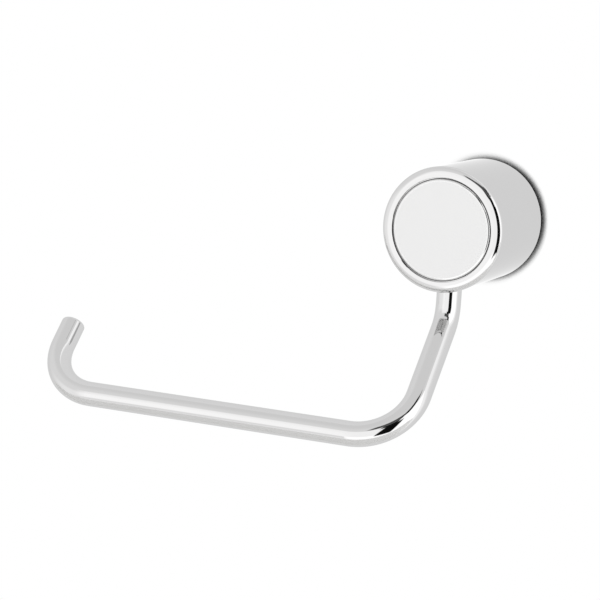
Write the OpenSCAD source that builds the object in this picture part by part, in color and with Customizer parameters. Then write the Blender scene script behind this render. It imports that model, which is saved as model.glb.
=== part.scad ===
// Wall-mounted toilet paper holder: a round post on a hidden wall puck, with a bent round arm for the roll.
// Millimetres. +X right, +Y into the wall, +Z up. The wall plane is y = 0 and the post's axis is the Y axis.

/* [Post] */
// Outside diameter of the post
post_d = 49.5; // [46:0.5:64]
// Front face of the post, measured from the wall
post_len = 51.5; // [50:0.5:80]
// Wall thickness of the post sleeve
post_wall = 3; // [2.4:0.1:4]
// Gap between the rear edge of the sleeve and the wall
wall_gap = 0.4; // [0.2:0.1:1.5]
// Thickness of the sleeve's closed front, from its face to the hub
front_wall = 6.6; // [6:0.1:9]
// Radius of the gentle crown between the sleeve's flat face and its front edge
front_crown_r = 3.9; // [3:0.1:5]
// Turn of the crown before the tighter front edge begins
front_crown_turn = 36; // [10:1:45]
// Rounding of the sleeve's outer front edge, beyond the crown
front_edge_r = 1.7; // [0.5:0.1:3]
// Rounding of the sleeve's outer rear edge
rear_edge_r = 0.4; // [0.2:0.1:1]

/* [Front disc] */
// Width of the flat polished ring around the disc
ring_w = 4.3; // [3.8:0.1:6]
// Depth of the recess that holds the disc
recess_depth = 1.6; // [1.4:0.05:2]
// Bevel at the mouth of the recess
recess_bevel = 0.15; // [0.1:0.05:0.4]
// Width of the open groove between the disc and the ring
disc_groove = 0.25; // [0.2:0.05:1]
// Thickness of the disc
disc_t = 1.35; // [1.25:0.05:1.35]
// Rounding of the disc's front edge
disc_edge_r = 1.2; // [0.3:0.1:1.2]
// Thickness of the adhesive pad behind the disc
pad_t = 0.2; // [0.05:0.05:0.25]
// How far the pad's edge stays inside the disc's edge
pad_inset = 1.5; // [1:0.1:4]

/* [Roll arm] */
// Diameter of the arm's round bar
arm_d = 10; // [8:0.5:12]
// Distance from the post's front face back to the arm's axis
arm_setback = 15.5; // [15:0.5:17]
// Depth of the arm's upper end below the post's axis
arm_top = 6; // [5:0.5:8]
// Depth of the first bend's corner below the post's axis
stub_drop = 36.7; // [36:0.1:55]
// Turn of the first bend, out from the wall
stub_turn = 45; // [30:1:60]
// Centreline radius of the first bend
stub_bend_r = 14.5; // [12:0.5:20]
// Sloping leg, corner to corner
leg_len = 60.3; // [50:0.1:90]
// Bar that carries the roll, corner to corner
bar_len = 158; // [130:1:200]
// Upturned end, from the corner to the tip
tip_len = 33.3; // [28:0.1:50]
// Centreline radius of the two right-angle bends
bar_bend_r = 22; // [16:0.5:24]
// Rounding of the tip's edge
tip_edge_r = 1; // [0.3:0.1:2]
// How much thinner the stub and its bend are than the rest of the bar, in radius
stub_ease = 0.005; // [0.002:0.001:0.02]

/* [Hub] */
// Gap between the hub's rear face and the puck
hub_puck_gap = 7; // [5:0.5:9]
// Diameter of the hub screw's shank
hub_screw_d = 4; // [3:0.5:5]
// Length of the hub screw under its head
hub_screw_len = 12; // [10:0.5:14]
// Diameter of the hub screw's head
hub_head_d = 8; // [7:0.1:9]
// Height of the hub screw's head
hub_head_h = 2.1; // [1.6:0.1:2.2]
// Diameter of the hub screw's washer
hub_washer_d = 9; // [8:0.1:10]
// Thickness of the hub screw's washer
hub_washer_t = 0.6; // [0.4:0.1:0.8]
// Depth of the pocket for the hub screw's head
head_pocket = 3; // [3:0.1:3.3]
// Diameter of the grub screw that clamps the arm
grub_d = 6; // [5:0.5:8]
// Length of that grub screw
grub_len = 8; // [6:0.5:8]
// Width across flats of that grub screw's socket
grub_socket_af = 3; // [2.5:0.5:3]
// Depth of that grub screw below the post's axis
grub_z = 14; // [12:0.5:16]

/* [Wall fixing] */
// Depth of the puck, from the wall to its rim
puck_depth = 14; // [12:0.5:15]
// Thickness of the puck's floor
puck_floor = 4; // [3:0.1:5]
// Thickness of the puck's rim
puck_rim = 4; // [3:0.1:5]
// Extra length of the slotted screw hole, end to end
slot_extra = 2; // [1:0.1:3]
// Diameter of the wall screws' shanks
wall_screw_d = 4; // [3.5:0.1:4]
// Length of the wall screws under their heads
wall_screw_len = 35; // [33:0.5:36]
// Length of the wall screws' points
wall_screw_point = 4; // [3:0.5:6]
// Diameter of the wall screws' heads
wall_head_d = 7.6; // [6:0.1:8]
// Height of the wall screws' heads
wall_head_h = 2.8; // [2:0.1:3]
// Diameter of the wall washers
wall_washer_d = 9; // [8.4:0.1:9]
// Thickness of the wall washers
wall_washer_t = 0.8; // [0.6:0.1:1]
// Diameter of the wall plugs
plug_d = 6; // [6:0.1:8]
// Length of the wall plugs
plug_len = 30; // [30:0.5:36]
// How far the plugs sit below the wall's surface
plug_sunk = 2.5; // [2.2:0.1:4]
// Width of the slit that lets a plug spread
plug_slit = 0.8; // [0.5:0.1:1.2]
// Depth of the rings cut around a plug
plug_ring_depth = 0.35; // [0.2:0.05:0.5]
// Diameter of the set screw that holds the post on the puck
set_d = 5; // [4:0.5:6]
// Length of the set screw
set_len = 4; // [4:0.1:4.6]
// Width across flats of the set screw's socket
set_socket_af = 2.5; // [2:0.5:2.5]
// How far the set screw sits inside the post's surface
set_recess = 0.5; // [0.2:0.1:0.8]
// Distance of the set screw from the wall
set_y = 8; // [6:0.5:9]

/* [Fits] */
// Radial clearance of the sleeve on the puck
fit_puck = 0.15; // [0.1:0.05:0.3]
// Radial clearance of the hub in the sleeve
fit_hub = 0.1; // [0.05:0.05:0.2]
// Radial clearance of the arm in the hub
fit_arm = 0.05; // [0.05:0.05:0.2]
// Radial clearance of the arm in the sleeve's hole
fit_arm_hole = 0.1; // [0.1:0.05:0.3]
// Radial clearance of every thread, drawn as a plain cylinder
fit_thread = 0.05; // [0.05:0.01:0.1]
// Radial clearance of screws through plain holes
fit_through = 0.4; // [0.2:0.05:0.5]
// Gap left under a screw's tip and between stacked faces
fit_tip = 0.05; // [0.02:0.01:0.1]

/* [Hidden] */
$fn = 128;
arm_fn = 48;
eps = 1;
post_r = post_d / 2;
bore_r = post_r - post_wall;
arm_r = arm_d / 2;
arm_y = post_len - arm_setback;
recess_r = post_r - ring_w;
disc_r = recess_r - disc_groove;
recess_y = post_len - recess_depth;
pocket_y = recess_y - head_pocket;
hub_front = post_len - front_wall;
hub_rear = puck_depth + hub_puck_gap;
hub_r = bore_r - fit_hub;
puck_r = bore_r - fit_puck;
puck_in_r = puck_r - puck_rim;
washer_edge_gap = 1.1;
screw_x = puck_in_r - wall_washer_d / 2 - washer_edge_gap;
through_r = wall_screw_d / 2 + fit_through;
wall_washer_y = puck_floor + fit_tip;
wall_head_y = wall_washer_y + wall_washer_t + fit_tip;
plug_ring_pitch = 4;
plug_ring_w = 1.2;
plug_ring_count = 5;
plug_solid_tip = 1.2;
hub_washer_y = pocket_y + fit_tip;
hub_head_y = hub_washer_y + hub_washer_t + fit_tip;
set_tip_z = post_r - set_recess - set_len;
flat_z = set_tip_z - fit_tip;
grub_tip_y = arm_y - arm_r - fit_tip;
stub_tangent = stub_bend_r * tan(stub_turn / 2);
bar_tangent = bar_bend_r;
stub_run = stub_drop - arm_top - stub_tangent;
leg_run = leg_len - stub_tangent - bar_tangent;
bar_run = bar_len - 2 * bar_tangent;
tip_run = tip_len - bar_tangent;
turned_bevel = 0.5;
arm_bore_end = 0.5;
plug_bevel = 0.6;
plug_slit_start = 9;
plug_slit_len = 18;
hub_screw_point = 1;
grub_socket = 3.2;
set_socket = 2.2;

// A shape drawn along +Z, laid along -Y so that its foot is at distance y from the wall.
module out_from_wall(x, y, z) {
    translate([x, -y, z])
        rotate([90, 0, 0])
            children();
}

// A plain disc or rod standing on z = 0 whose upper edge is rounded.
module round_edged_rod(r, h, edge) {
    rotate_extrude() {
        square([r - edge, h]);
        square([r, h - edge]);
        translate([r - edge, h - edge])
            intersection() {
                circle(edge);
                square(edge);
            }
    }
}

// A plain rod standing on z = 0 whose upper face runs through a gentle crown into a tighter edge.
module crowned_rod(r, h, crown, turn, edge) {
    crown_start = r - edge * (1 - sin(turn)) - crown * sin(turn);
    drop = crown * (1 - cos(turn)) + edge * cos(turn);
    rotate_extrude() {
        square([crown_start, h]);
        square([r, h - drop]);
        translate([r - edge, h - drop])
            intersection() {
                circle(edge);
                square(edge);
            }
        intersection() {
            translate([crown_start, h - crown])
                circle(crown);
            translate([crown_start, h - drop - eps])
                square([crown * sin(turn), drop + eps]);
        }
    }
}

// A disc standing on z = 0 whose upper edge is bevelled.
module bevelled_disc(r, h, bevel) {
    rotate_extrude()
        polygon([[0, 0], [r, 0], [r, h - bevel], [r - bevel, h], [0, h]]);
}

// A hexagon given by its width across flats.
module hexagon(af) {
    k = af / sqrt(3);
    polygon([for (i = [0:5]) [k * cos(60 * i), k * sin(60 * i)]]);
}

// A headless screw standing on z = 0: bevelled ends and a hexagon socket in its upper end.
module headless_screw(d, length, af, socket) {
    bevel = d / 10;
    difference() {
        rotate_extrude()
            polygon([[0, 0], [d / 2 - bevel, 0], [d / 2, bevel], [d / 2, length - bevel],
                [d / 2 - bevel, length], [0, length]]);
        translate([0, 0, length - socket])
            linear_extrude(socket + eps)
                hexagon(af);
    }
}

// Cross recess, cut down from z = 0.
module cross_recess(width, blade, depth) {
    for (turn = [0, 90])
        rotate([0, 0, turn])
            translate([-width / 2, -blade / 2, -depth])
                cube([width, blade, depth + eps]);
}

// A domed-edge screw head with its underside on z = 0 and its shank hanging below.
module headed_screw(d, length, point, head_d, head_h) {
    dome_edge = head_h / 2;
    cross_width = head_d * 0.55;
    cross_blade = head_d / 7;
    cross_depth = head_h * 0.6;
    difference() {
        round_edged_rod(head_d / 2, head_h, dome_edge);
        translate([0, 0, head_h])
            cross_recess(cross_width, cross_blade, cross_depth);
    }
    translate([0, 0, point - length])
        cylinder(r = d / 2, h = length - point);
    translate([0, 0, -length])
        cylinder(r1 = d / 8, r2 = d / 2, h = point);
}

// A flat washer standing on z = 0.
module washer(d, t, hole_r) {
    bevel = t / 4;
    difference() {
        bevelled_disc(d / 2, t, bevel);
        translate([0, 0, -eps])
            cylinder(r = hole_r, h = t + 2 * eps);
    }
}

// One straight length of the arm along +Z, then whatever follows it.
module run(bar_r, length) {
    cylinder(r = bar_r, h = length, $fn = arm_fn);
    translate([0, 0, length])
        children();
}

// One bend of the arm, from +Z towards +X, then whatever follows it.
module bend(bar_r, r, turn) {
    translate([r, 0, 0])
        rotate([90, 0, 180])
            rotate_extrude(angle = turn, $fn = arm_fn)
                translate([r, 0])
                    circle(bar_r, $fn = arm_fn);
    translate([r, 0, 0])
        rotate([0, turn, 0])
            translate([-r, 0, 0])
                children();
}

module wall_puck() {
    color("DarkGray")
        difference() {
            out_from_wall(0, 0, 0)
                bevelled_disc(puck_r, puck_depth, turned_bevel);
            out_from_wall(0, puck_floor, 0)
                cylinder(r = puck_in_r, h = puck_depth);
            out_from_wall(-screw_x, -eps, 0)
                cylinder(r = through_r, h = puck_depth);
            out_from_wall(screw_x, -eps, 0)
                linear_extrude(puck_depth) {
                    for (side = [-1, 1])
                        translate([side * slot_extra / 2, 0])
                            circle(through_r);
                    translate([-slot_extra / 2, -through_r])
                        square([slot_extra, 2 * through_r]);
                }
            translate([-post_r, -puck_depth - eps, -flat_z - post_r])
                cube([post_d, puck_depth + 2 * eps, post_r]);
        }
}

module wall_screws() {
    color("Silver")
        for (side = [-1, 1])
            out_from_wall(side * screw_x, wall_head_y, 0)
                headed_screw(wall_screw_d, wall_screw_len, wall_screw_point, wall_head_d, wall_head_h);
}

module wall_screw_washers() {
    color("Gainsboro")
        for (side = [-1, 1])
            out_from_wall(side * screw_x, wall_washer_y, 0)
                washer(wall_washer_d, wall_washer_t, wall_screw_d / 2 + fit_through / 2);
}

module wall_plugs() {
    color("LightSlateGray")
        for (side = [-1, 1])
            translate([side * screw_x, plug_sunk, 0])
                rotate([-90, 0, 0])
                    difference() {
                        bevelled_disc(plug_d / 2, plug_len, plug_bevel);
                        translate([0, 0, -eps])
                            cylinder(r = wall_screw_d / 2 + fit_thread, h = plug_len - plug_solid_tip + eps);
                        translate([-plug_slit / 2, -plug_d, plug_slit_start])
                            cube([plug_slit, 2 * plug_d, plug_slit_len]);
                        for (i = [0:plug_ring_count - 1])
                            translate([0, 0, plug_slit_start + i * plug_ring_pitch])
                                difference() {
                                    cylinder(r = plug_d, h = plug_ring_w);
                                    cylinder(r = plug_d / 2 - plug_ring_depth, h = plug_ring_w);
                                }
                    }
}

module post_sleeve() {
    color("WhiteSmoke")
        difference() {
            out_from_wall(0, wall_gap, 0)
                crowned_rod(post_r, post_len - wall_gap, front_crown_r, front_crown_turn, front_edge_r);
            out_from_wall(0, -eps, 0)
                cylinder(r = bore_r, h = hub_front + eps);
            out_from_wall(0, wall_gap, 0)
                rotate_extrude()
                    translate([post_r - rear_edge_r, 0])
                        difference() {
                            translate([0, -eps])
                                square([rear_edge_r + eps, rear_edge_r + eps]);
                            translate([0, rear_edge_r])
                                circle(rear_edge_r);
                        }
            out_from_wall(0, recess_y, 0)
                cylinder(r = recess_r, h = recess_depth + eps);
            out_from_wall(0, post_len - recess_bevel, 0)
                cylinder(r1 = recess_r, r2 = recess_r + recess_bevel + eps, h = recess_bevel + eps);
            out_from_wall(0, pocket_y, 0)
                cylinder(r = hub_washer_d / 2 + fit_through / 2, h = head_pocket + eps);
            out_from_wall(0, hub_front - eps, 0)
                cylinder(r = hub_screw_d / 2 + fit_through / 2, h = front_wall);
            translate([0, -arm_y, -post_r - eps])
                cylinder(r = arm_r + fit_arm_hole, h = post_r);
            translate([0, -set_y, -post_r - eps])
                cylinder(r = set_d / 2 + fit_thread, h = post_r);
        }
}

module arm_hub() {
    color("LightGray")
        difference() {
            out_from_wall(0, hub_rear, 0)
                bevelled_disc(hub_r, hub_front - hub_rear, turned_bevel);
            translate([0, -arm_y, -post_r])
                cylinder(r = arm_r + fit_arm, h = post_r - arm_top + arm_bore_end);
            out_from_wall(0, hub_front - hub_screw_len, 0)
                cylinder(r = hub_screw_d / 2 + fit_thread, h = hub_screw_len + eps);
            out_from_wall(0, hub_rear - eps, -grub_z)
                cylinder(r = grub_d / 2 + fit_thread, h = arm_y - hub_rear + eps);
        }
}

module hub_screw() {
    color("Silver")
        out_from_wall(0, hub_head_y, 0)
            headed_screw(hub_screw_d, hub_screw_len, hub_screw_point, hub_head_d, hub_head_h);
}

module hub_screw_washer() {
    color("Gainsboro")
        out_from_wall(0, hub_washer_y, 0)
            washer(hub_washer_d, hub_washer_t, hub_screw_d / 2 + fit_through / 2);
}

module front_disc() {
    color("WhiteSmoke")
        out_from_wall(0, recess_y + pad_t, 0)
            round_edged_rod(disc_r, disc_t, disc_edge_r);
}

module disc_adhesive_pad() {
    color("DimGray")
        out_from_wall(0, recess_y, 0)
            cylinder(r = disc_r - pad_inset, h = pad_t);
}

module roll_arm() {
    color("WhiteSmoke")
        translate([0, -arm_y, -arm_top])
            rotate([180, 0, -90])
                run(arm_r - stub_ease, stub_run)
                    bend(arm_r - stub_ease, stub_bend_r, stub_turn)
                        rotate([0, 0, 90])
                            run(arm_r, leg_run)
                                bend(arm_r, bar_bend_r, 90)
                                    run(arm_r, bar_run)
                                        bend(arm_r, bar_bend_r, 90)
                                            round_edged_rod(arm_r, tip_run, tip_edge_r, $fn = arm_fn);
}

module arm_grub_screw() {
    color("DimGray")
        translate([0, -grub_tip_y, -grub_z])
            rotate([-90, 0, 0])
                headless_screw(grub_d, grub_len, grub_socket_af, grub_socket);
}

module post_set_screw() {
    color("DimGray")
        translate([0, -set_y, -set_tip_z])
            rotate([180, 0, 0])
                headless_screw(set_d, set_len, set_socket_af, set_socket);
}

wall_puck();
wall_screws();
wall_screw_washers();
wall_plugs();
post_sleeve();
arm_hub();
hub_screw();
hub_screw_washer();
front_disc();
disc_adhesive_pad();
roll_arm();
arm_grub_screw();
post_set_screw();
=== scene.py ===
"""Looks of a wall-mounted toilet paper holder: chromed round post and bent bar, satin disc, hidden fixings.

Metres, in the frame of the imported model: +X right, +Y into the wall, +Z up, the wall plane at y = 0.
"""

import math

import bpy
from mathutils import Matrix, Vector


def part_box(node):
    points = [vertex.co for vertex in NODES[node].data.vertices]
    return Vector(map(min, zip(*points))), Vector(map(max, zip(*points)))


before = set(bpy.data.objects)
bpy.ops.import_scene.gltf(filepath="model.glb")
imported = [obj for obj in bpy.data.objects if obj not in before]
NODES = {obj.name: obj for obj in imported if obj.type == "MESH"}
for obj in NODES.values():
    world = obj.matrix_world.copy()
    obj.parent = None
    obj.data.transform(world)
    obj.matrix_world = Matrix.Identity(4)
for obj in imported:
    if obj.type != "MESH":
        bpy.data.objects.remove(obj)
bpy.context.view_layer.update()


class Link:
    """One socket of a node tree. Arithmetic on it adds Math nodes; node() adds any other node."""

    def __init__(self, tree, socket=None):
        self.tree = tree
        self.socket = socket

    def node(self, kind, settings=None, sockets=None, output=0):
        """Adds a node, makes its settings, fills its sockets with values or links, returns one output."""
        made = self.tree.nodes.new(kind)
        for name, value in (settings or {}).items():
            setattr(made, name, value)
        for name, value in (sockets or {}).items():
            if isinstance(value, Link):
                self.tree.links.new(value.socket, made.inputs[name])
            else:
                made.inputs[name].default_value = value
        return Link(self.tree, made.outputs[output])

    def maths(self, operation, *terms):
        return self.node("ShaderNodeMath", {"operation": operation}, dict(enumerate(terms)))

    def __add__(self, other):
        return self.maths("ADD", self, other)

    def __radd__(self, other):
        return self.maths("ADD", other, self)

    def __sub__(self, other):
        return self.maths("SUBTRACT", self, other)

    def __rsub__(self, other):
        return self.maths("SUBTRACT", other, self)

    def __mul__(self, other):
        return self.maths("MULTIPLY", self, other)

    def __rmul__(self, other):
        return self.maths("MULTIPLY", other, self)

    def __pow__(self, other):
        return self.maths("POWER", self, other)

    def __neg__(self):
        return self.maths("MULTIPLY", self, -1.0)

    def __abs__(self):
        return self.maths("ABSOLUTE", self)

    def between(self, low, high):
        """0 up to low, 1 from high on, smooth in between."""
        settings = {"interpolation_type": "SMOOTHSTEP"}
        return self.node("ShaderNodeMapRange", settings, {"Value": self, "From Min": low, "From Max": high})

    def axes(self):
        """The x, y and z of a vector."""
        first = self.node("ShaderNodeSeparateXYZ", {}, {"Vector": self})
        parts = first.socket.node.outputs
        return [Link(self.tree, parts[i]) for i in range(3)]


def new_material(name):
    """A blank material: the start of its tree, and a function that puts a shader on its output."""
    material = bpy.data.materials.new(name)
    material.use_nodes = True
    tree = material.node_tree
    tree.nodes.clear()
    output = tree.nodes.new("ShaderNodeOutputMaterial")

    def finish(shader):
        tree.links.new(shader.socket, output.inputs["Surface"])
        return material

    return Link(tree), finish


def object_place(start):
    """The place on the piece, in metres."""
    return start.node("ShaderNodeTexCoord", output="Object")


def noise(start, place, scale, detail=3.0, roughness=0.5):
    """Soft random variation from 0 to 1."""
    sockets = {"Vector": place, "Scale": scale, "Detail": detail, "Roughness": roughness}
    return start.node("ShaderNodeTexNoise", {}, sockets, "Fac")


def stretched(start, place, scale):
    """A place whose axes are scaled apart, for grain that runs one way."""
    return start.node("ShaderNodeVectorMath", {"operation": "MULTIPLY"}, {0: place, 1: scale})


def tint(start, factor, low, high):
    """A colour that runs from low to high as factor runs from 0 to 1."""
    settings = {"data_type": "RGBA"}
    return start.node("ShaderNodeMix", settings, {"Factor": factor, 6: (*low, 1.0), 7: (*high, 1.0)}, 2)


def bump(start, height, distance):
    """A normal tilted by height, whose full range stands for distance in metres."""
    return start.node("ShaderNodeBump", {}, {"Height": height, "Distance": distance, "Strength": 1.0})


def from_axis(x, z):
    """Distance from the post's axis."""
    return (x * x + z * z) ** 0.5


# The disc's radius, and the inner and outer limits of the step from its satin face to its polished edge.
DISC_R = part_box("front_disc")[1].x
SATIN_END = DISC_R - 0.0014
POLISH_START = DISC_R - 0.0011
# Height of the arm's first bend, and how far from it the bar is still uneven from bending.
FIRST_BEND_Z = -0.0367
BEND_CORE = 0.002
BEND_REACH = 0.009


def polished_chrome():
    """Mirror chrome with the faint waves of a bent tube, a light haze and fine wipe marks."""
    start, finish = new_material("polished_chrome")
    place = object_place(start)
    x, y, z = place.axes()
    wave = noise(start, place, 70.0, 1.0)
    pull = noise(start, stretched(start, place, (1.0, 1.0, 0.35)), 260.0, 1.0)
    first_bend = 1 - abs(z - FIRST_BEND_Z).between(BEND_CORE, BEND_REACH)
    haze = noise(start, place, 45.0, 4.0)
    wipe = noise(start, stretched(start, place, (1.0, 0.15, 1.0)), 1800.0, 2.0)
    height = 0.5 * wave + pull * (0.04 + 0.3 * first_bend) + 0.002 * wipe
    sockets = {
        "Base Color": tint(start, haze, (0.548, 0.546, 0.547), (0.560, 0.558, 0.559)),
        "Metallic": 1.0,
        "Specular Tint": (0.80, 0.80, 0.80, 1.0),
        "Roughness": 0.015 + 0.03 * haze + 0.02 * wipe,
        "Normal": bump(start, height, 0.00003),
    }
    return finish(start.node("ShaderNodeBsdfPrincipled", {}, sockets))


def satin_disc():
    """Bead-blasted satin face that turns to bright chrome on the rounded edge."""
    start, finish = new_material("satin_disc")
    place = object_place(start)
    x, y, z = place.axes()
    edge = from_axis(x, z).between(SATIN_END, POLISH_START)
    grain = noise(start, place, 5200.0, 2.0, 0.7)
    cloud = noise(start, place, 130.0, 4.0)
    sockets = {
        "Base Color": tint(start, cloud, (0.565, 0.565, 0.565), (0.600, 0.600, 0.600)),
        "Metallic": 1.0,
        "Roughness": (0.36 + 0.10 * cloud) * (1 - edge) + 0.04 * edge,
        "Normal": bump(start, grain * (1 - edge), 0.000006),
    }
    return finish(start.node("ShaderNodeBsdfPrincipled", {}, sockets))


def turned_metal(name, low, high, rough, groove_scale):
    """Bare metal cut on a lathe: fine rings round the post's axis, with a dull patina."""
    start, finish = new_material(name)
    place = object_place(start)
    x, y, z = place.axes()
    radius = from_axis(x, z)
    rings = noise(start, start.node("ShaderNodeCombineXYZ", {}, {"X": radius, "Y": y}), groove_scale, 3.0)
    patina = noise(start, place, 140.0, 4.0)
    sockets = {
        "Base Color": tint(start, 0.5 * rings + 0.5 * patina, low, high),
        "Metallic": 1.0,
        "Roughness": rough + 0.14 * patina + 0.08 * rings,
        "Normal": bump(start, rings + 0.3 * patina, 0.00002),
    }
    return finish(start.node("ShaderNodeBsdfPrincipled", {}, sockets))


def plated_steel(name, low, high, rough):
    """Zinc or oxide finish on small steel parts: mottled, with rubbed lighter spots."""
    start, finish = new_material(name)
    place = object_place(start)
    mottle = noise(start, place, 900.0, 4.0)
    grit = noise(start, place, 6000.0, 2.0)
    rubbed = noise(start, place, 350.0, 3.0).between(0.52, 0.70)
    sockets = {
        "Base Color": tint(start, 0.6 * mottle + 0.4 * rubbed, low, high),
        "Metallic": 1.0,
        "Roughness": rough + 0.15 * mottle - 0.06 * rubbed,
        "Normal": bump(start, mottle + 0.4 * grit, 0.000015),
    }
    return finish(start.node("ShaderNodeBsdfPrincipled", {}, sockets))


def moulded_nylon():
    """Grey nylon with a matt mould grain."""
    start, finish = new_material("plug_nylon")
    place = object_place(start)
    cloud = noise(start, place, 300.0, 4.0)
    grain = noise(start, place, 4000.0, 2.0)
    sockets = {
        "Base Color": tint(start, cloud, (0.30, 0.32, 0.35), (0.37, 0.39, 0.42)),
        "Roughness": 0.46 + 0.14 * grain,
        "Normal": bump(start, grain, 0.00002),
    }
    return finish(start.node("ShaderNodeBsdfPrincipled", {}, sockets))


def foam_tape():
    """Dark closed-cell foam."""
    start, finish = new_material("adhesive_foam")
    place = object_place(start)
    cells = start.node("ShaderNodeTexVoronoi", {}, {"Vector": place, "Scale": 3500.0}, "Distance")
    sockets = {
        "Base Color": tint(start, cells, (0.02, 0.02, 0.02), (0.06, 0.06, 0.06)),
        "Roughness": 0.85 + 0.1 * cells,
        "Normal": bump(start, cells, 0.00005),
    }
    return finish(start.node("ShaderNodeBsdfPrincipled", {}, sockets))


def dress(material, *nodes):
    """Gives one material to every named node."""
    for name in nodes:
        slots = NODES[name].data.materials
        slots.clear()
        slots.append(material)


dress(polished_chrome(), "post_sleeve", "roll_arm")
dress(satin_disc(), "front_disc")
dress(turned_metal("hub_metal", (0.60, 0.61, 0.62), (0.74, 0.75, 0.76), 0.26, 2400.0), "arm_hub")
dress(turned_metal("puck_metal", (0.48, 0.49, 0.50), (0.66, 0.67, 0.68), 0.38, 1500.0), "wall_puck")
dress(plated_steel("screw_steel", (0.52, 0.53, 0.55), (0.68, 0.69, 0.70), 0.24), "wall_screws",
      "wall_screw_washers", "hub_screw", "hub_screw_washer")
dress(plated_steel("dark_steel", (0.035, 0.035, 0.038), (0.12, 0.12, 0.125), 0.34), "arm_grub_screw",
      "post_set_screw")
dress(moulded_nylon(), "wall_plugs")
dress(foam_tape(), "disc_adhesive_pad")


def studio_light():
    """The soft boxes and cards that the chrome mirrors, by direction: azimuth 0 is in front of the wall."""
    world = bpy.data.worlds.new("studio")
    bpy.context.scene.world = world
    world.use_nodes = True
    tree = world.node_tree
    tree.nodes.clear()
    start = Link(tree)
    x, y, z = start.node("ShaderNodeTexCoord", output="Generated").axes()
    azimuth = x.maths("ARCTAN2", x, -y) * (180 / math.pi)
    height = z.maths("ARCSINE", z) * (180 / math.pi)

    def band(value, low, high, soft):
        """1 between two angles in degrees and 0 outside them, with edges soft by so many degrees."""
        return value.between(low - soft, low + soft) * (1 - value.between(high - soft, high + soft))

    left_glow = band(azimuth, -75, -25, 18) * band(height, -24, 12, 9)
    left_shade = band(azimuth, -95, -45, 12) * band(height, -58, -34, 7)
    room = 1.06 + 0.12 * band(height, -35, 50, 14) + 0.20 * left_glow - 0.12 * left_shade
    front_card = azimuth.between(-44, -25) * (1 - azimuth.between(33, 39)) * band(height, -18, 28, 4)
    low_strip = band(azimuth, -20, 100, 4) * band(height, -38, -16, 3.5)
    low_fade = band(azimuth, -42, 105, 8) * band(height, -47, -30, 6)
    side_box = band(azimuth, 40, 140, 4) * band(height, -22, 44, 2.5)
    upright_gap = band(azimuth, 21, 49, 1.5) * band(height, -24, 23, 2)
    bent_gap = band(azimuth, 14, 39, 2) * band(height, 20, 31, 2)
    over_gap = 0.9 * band(azimuth, -4, 42, 3) * band(height, 30, 44, 2)
    rising = azimuth - (44 + 1.1 * (height - 41))
    side_gap = band(rising, -11, 12, 3) * band(height, 35, 58, 2.5)
    card_gain = 0.38
    fade_level = 1.5
    box_level = 1.85
    level = room + card_gain * front_card
    level = level + (fade_level - level) * (0.7 * low_fade)
    level = level + (box_level - level) * low_strip.maths("MAXIMUM", low_strip, side_box)
    # One dark gap between the card and the boxes stands upright and bends over at its top.
    dark = upright_gap
    for gap in (bent_gap, over_gap, side_gap):
        dark = dark.maths("MAXIMUM", dark, gap)
    level = level * (1 - 0.995 * dark)
    backdrop = 1.1
    seen = start.node("ShaderNodeLightPath", output="Is Camera Ray")
    level = level * (1 - seen) + backdrop * seen
    light = start.node("ShaderNodeBackground", {}, {"Color": (1.0, 0.998, 0.996, 1.0), "Strength": level})
    output = tree.nodes.new("ShaderNodeOutputWorld")
    tree.links.new(light.socket, output.inputs["Surface"])


def one_sided(start, shader):
    """Seen from the front only, so that views from behind or below are open."""
    back = start.node("ShaderNodeNewGeometry", output="Backfacing")
    clear = start.node("ShaderNodeBsdfTransparent")
    return start.node("ShaderNodeMixShader", {}, {0: back, 1: shader, 2: clear})


def wall_paint():
    """Self-lit white wall with a painted contact shadow round the post. The chrome mirrors it brighter than
    it looks, with a painted glow towards the right.
    """
    start, finish = new_material("wall_paint")
    x, y, z = start.node("ShaderNodeNewGeometry", output="Position").axes()
    # Painted contact shadow: ambient occlusion within shadow_reach, leaned to the lower left as if the light
    # came from there, darkens the wall as seen.
    shadow_reach = 0.0032
    lean = start.node("ShaderNodeCombineXYZ", {}, {"X": -0.9, "Y": -1.0, "Z": -0.25})
    sockets = {"Distance": shadow_reach, "Normal": lean}
    painted_contact_shadow = start.node("ShaderNodeAmbientOcclusion", {"samples": 8}, sockets, "AO")
    # Painted glow: the wall as mirrored by the chrome grows brighter towards the right and a little upwards.
    painted_glow_right = (x + 0.4 * z).between(0.06, 0.30)
    seen_with_painted_shadow = start.node("ShaderNodeEmission", {}, {"Strength": painted_contact_shadow.between(0.45, 0.97)})
    mirrored = start.node("ShaderNodeEmission", {}, {"Strength": 1.16 + 0.38 * painted_glow_right})
    seen = start.node("ShaderNodeLightPath", output="Is Camera Ray")
    lit = start.node("ShaderNodeMixShader", {}, {0: seen, 1: mirrored, 2: seen_with_painted_shadow})
    return finish(one_sided(start, lit))


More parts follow.
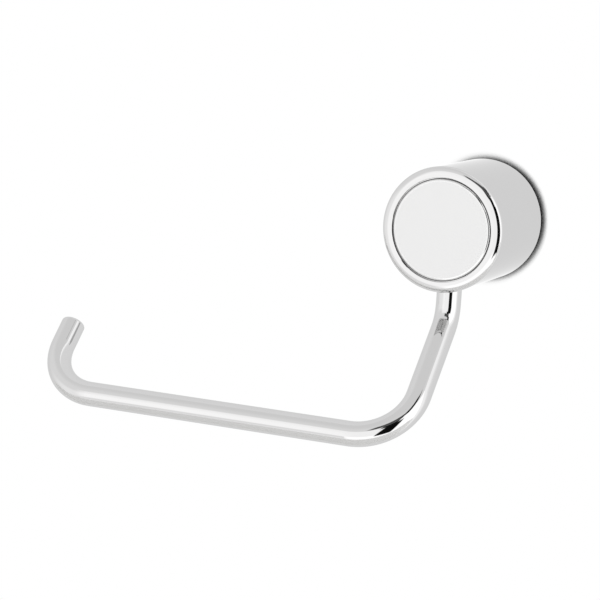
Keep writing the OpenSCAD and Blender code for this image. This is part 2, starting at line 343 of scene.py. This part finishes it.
def floor_paint():
    """Plain pale floor."""
    start, finish = new_material("floor_paint")
    paint = start.node("ShaderNodeBsdfDiffuse", {}, {"Color": (0.93, 0.93, 0.92, 1.0)})
    return finish(one_sided(start, paint))


def stage_plane(name, corners, material):
    """A flat four-cornered piece of the stage, which isn't part of the object."""
    mesh = bpy.data.meshes.new(name)
    mesh.from_pydata(corners, [], [(0, 1, 2, 3)])
    mesh.materials.append(material)
    plane = bpy.data.objects.new(name, mesh)
    bpy.context.scene.collection.objects.link(plane)


# Half the wall's width, the floor's height from the post's axis, and the floor's run out from the wall.
WALL_HALF = 2.0
FLOOR_Z = -0.50
FLOOR_DEPTH = 0.56
stage_plane("wall", [(-WALL_HALF, 0, FLOOR_Z), (WALL_HALF, 0, FLOOR_Z), (WALL_HALF, 0, WALL_HALF),
                     (-WALL_HALF, 0, WALL_HALF)], wall_paint())
stage_plane("floor", [(-WALL_HALF, -FLOOR_DEPTH, FLOOR_Z), (WALL_HALF, -FLOOR_DEPTH, FLOOR_Z),
                      (WALL_HALF, 0, FLOOR_Z), (-WALL_HALF, 0, FLOOR_Z)], floor_paint())
studio_light()


def place_camera():
    """The camera by its azimuth, elevation, roll and distance, aimed a little left of and below the post."""
    azimuth = math.radians(22.989)
    elevation = math.radians(8.985)
    roll = math.radians(3.55)
    distance = 0.90045
    aim_right = -0.075237
    aim_up = -0.033298
    back = Vector((math.sin(azimuth) * math.cos(elevation), -math.cos(azimuth) * math.cos(elevation),
                   math.sin(elevation)))
    level = Vector((math.cos(azimuth), math.sin(azimuth), 0.0))
    upright = back.cross(level)
    right = level * math.cos(roll) + upright * math.sin(roll)
    up = upright * math.cos(roll) - level * math.sin(roll)
    camera = bpy.data.objects.new("camera", bpy.data.cameras.new("camera"))
    bpy.context.scene.collection.objects.link(camera)
    stand = right * aim_right + up * aim_up + back * distance
    camera.matrix_world = Matrix.Translation(stand) @ Matrix((right, up, back)).transposed().to_4x4()
    camera.data.lens = 131.74
    camera.data.sensor_width = 36.0
    camera.data.clip_start = 0.01
    bpy.context.scene.camera = camera
    bpy.context.scene.view_settings.view_transform = "Standard"


place_camera()
